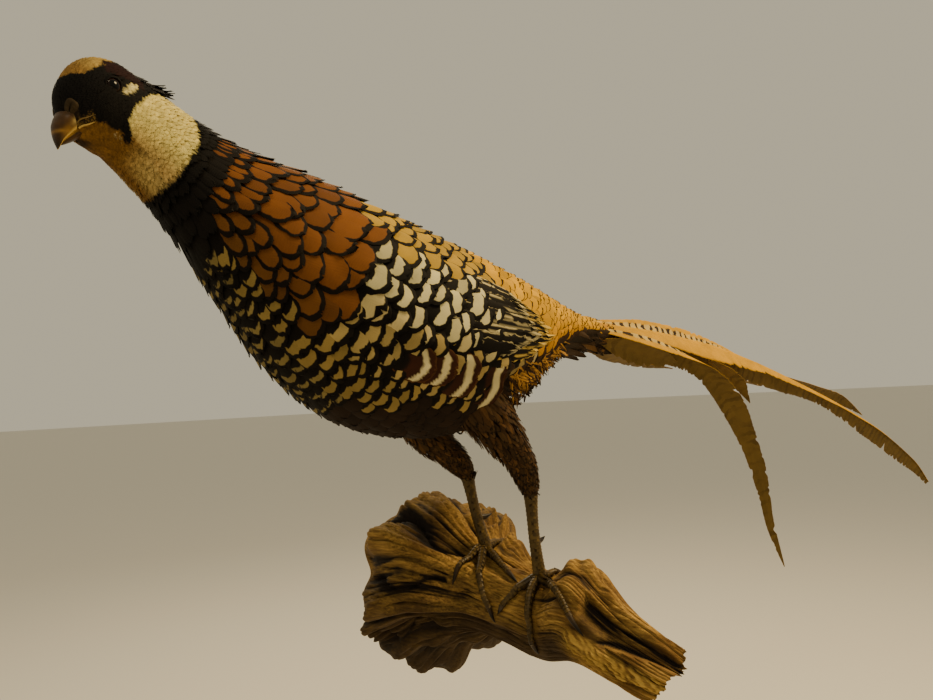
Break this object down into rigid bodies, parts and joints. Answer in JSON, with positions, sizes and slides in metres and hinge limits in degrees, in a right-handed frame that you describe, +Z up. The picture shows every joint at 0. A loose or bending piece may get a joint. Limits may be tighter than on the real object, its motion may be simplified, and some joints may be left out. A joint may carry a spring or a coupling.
{
  "type": "taxidermy pheasant",
  "caption": "Mounted long-tailed pheasant cock standing alert on a weathered driftwood root that juts from a wall, with a barred tail trailing behind.",
  "frame": {"origin": "middle of the root's flat sawn back, on the wall", "axes": "+Z up, +Y into the wall, the bird faces -X and its left side is towards -Y, the tail runs towards +X"},
  "size_m": [1.2908, 0.3207, 0.4925],
  "materials": {
    "mask_feathers": "black face feathers",
    "collar_feathers": "ivory neck feathers",
    "scaled_feathers": "golden chestnut feathers with black rims",
    "rump_feathers": "golden feathers with dark crescents",
    "wing_feathers": "cream feathers with black borders",
    "thigh_feathers": "dark brown down",
    "tail_feathers": "gold-edged barred long feathers",
    "leg_skin": "dried scaly skin",
    "claw_horn": "dark horn",
    "bill_horn": "yellow-grey horn",
    "eye_glass": "dark polished glass",
    "driftwood": "weathered grey-brown root"
  },
  "bodies": {
    "root": {"head": "mask_feathers", "nape_tuft": "mask_feathers", "neck": "collar_feathers", "trunk": "scaled_feathers", "rump": "rump_feathers", "wing_left": "wing_feathers", "wing_right": "wing_feathers", "thigh_left": "thigh_feathers", "thigh_right": "thigh_feathers", "shank_left": "leg_skin", "shank_right": "leg_skin", "foot_left": "leg_skin", "foot_right": "leg_skin", "spur_left": "claw_horn", "spur_right": "claw_horn", "claw_left_hind": "claw_horn", "claw_left_inner": "claw_horn", "claw_left_middle": "claw_horn", "claw_left_outer": "claw_horn", "claw_right_hind": "claw_horn", "claw_right_inner": "claw_horn", "claw_right_middle": "claw_horn", "claw_right_outer": "claw_horn", "bill_upper": "bill_horn", "bill_lower": "bill_horn", "eye_left": "eye_glass", "eye_right": "eye_glass", "tail_central_left": "tail_feathers", "tail_central_right": "tail_feathers", "tail_inner_left": "tail_feathers", "tail_inner_right": "tail_feathers", "tail_outer_left": "tail_feathers", "tail_outer_right": "tail_feathers", "driftwood": "driftwood"}
  },
  "joints": []
}
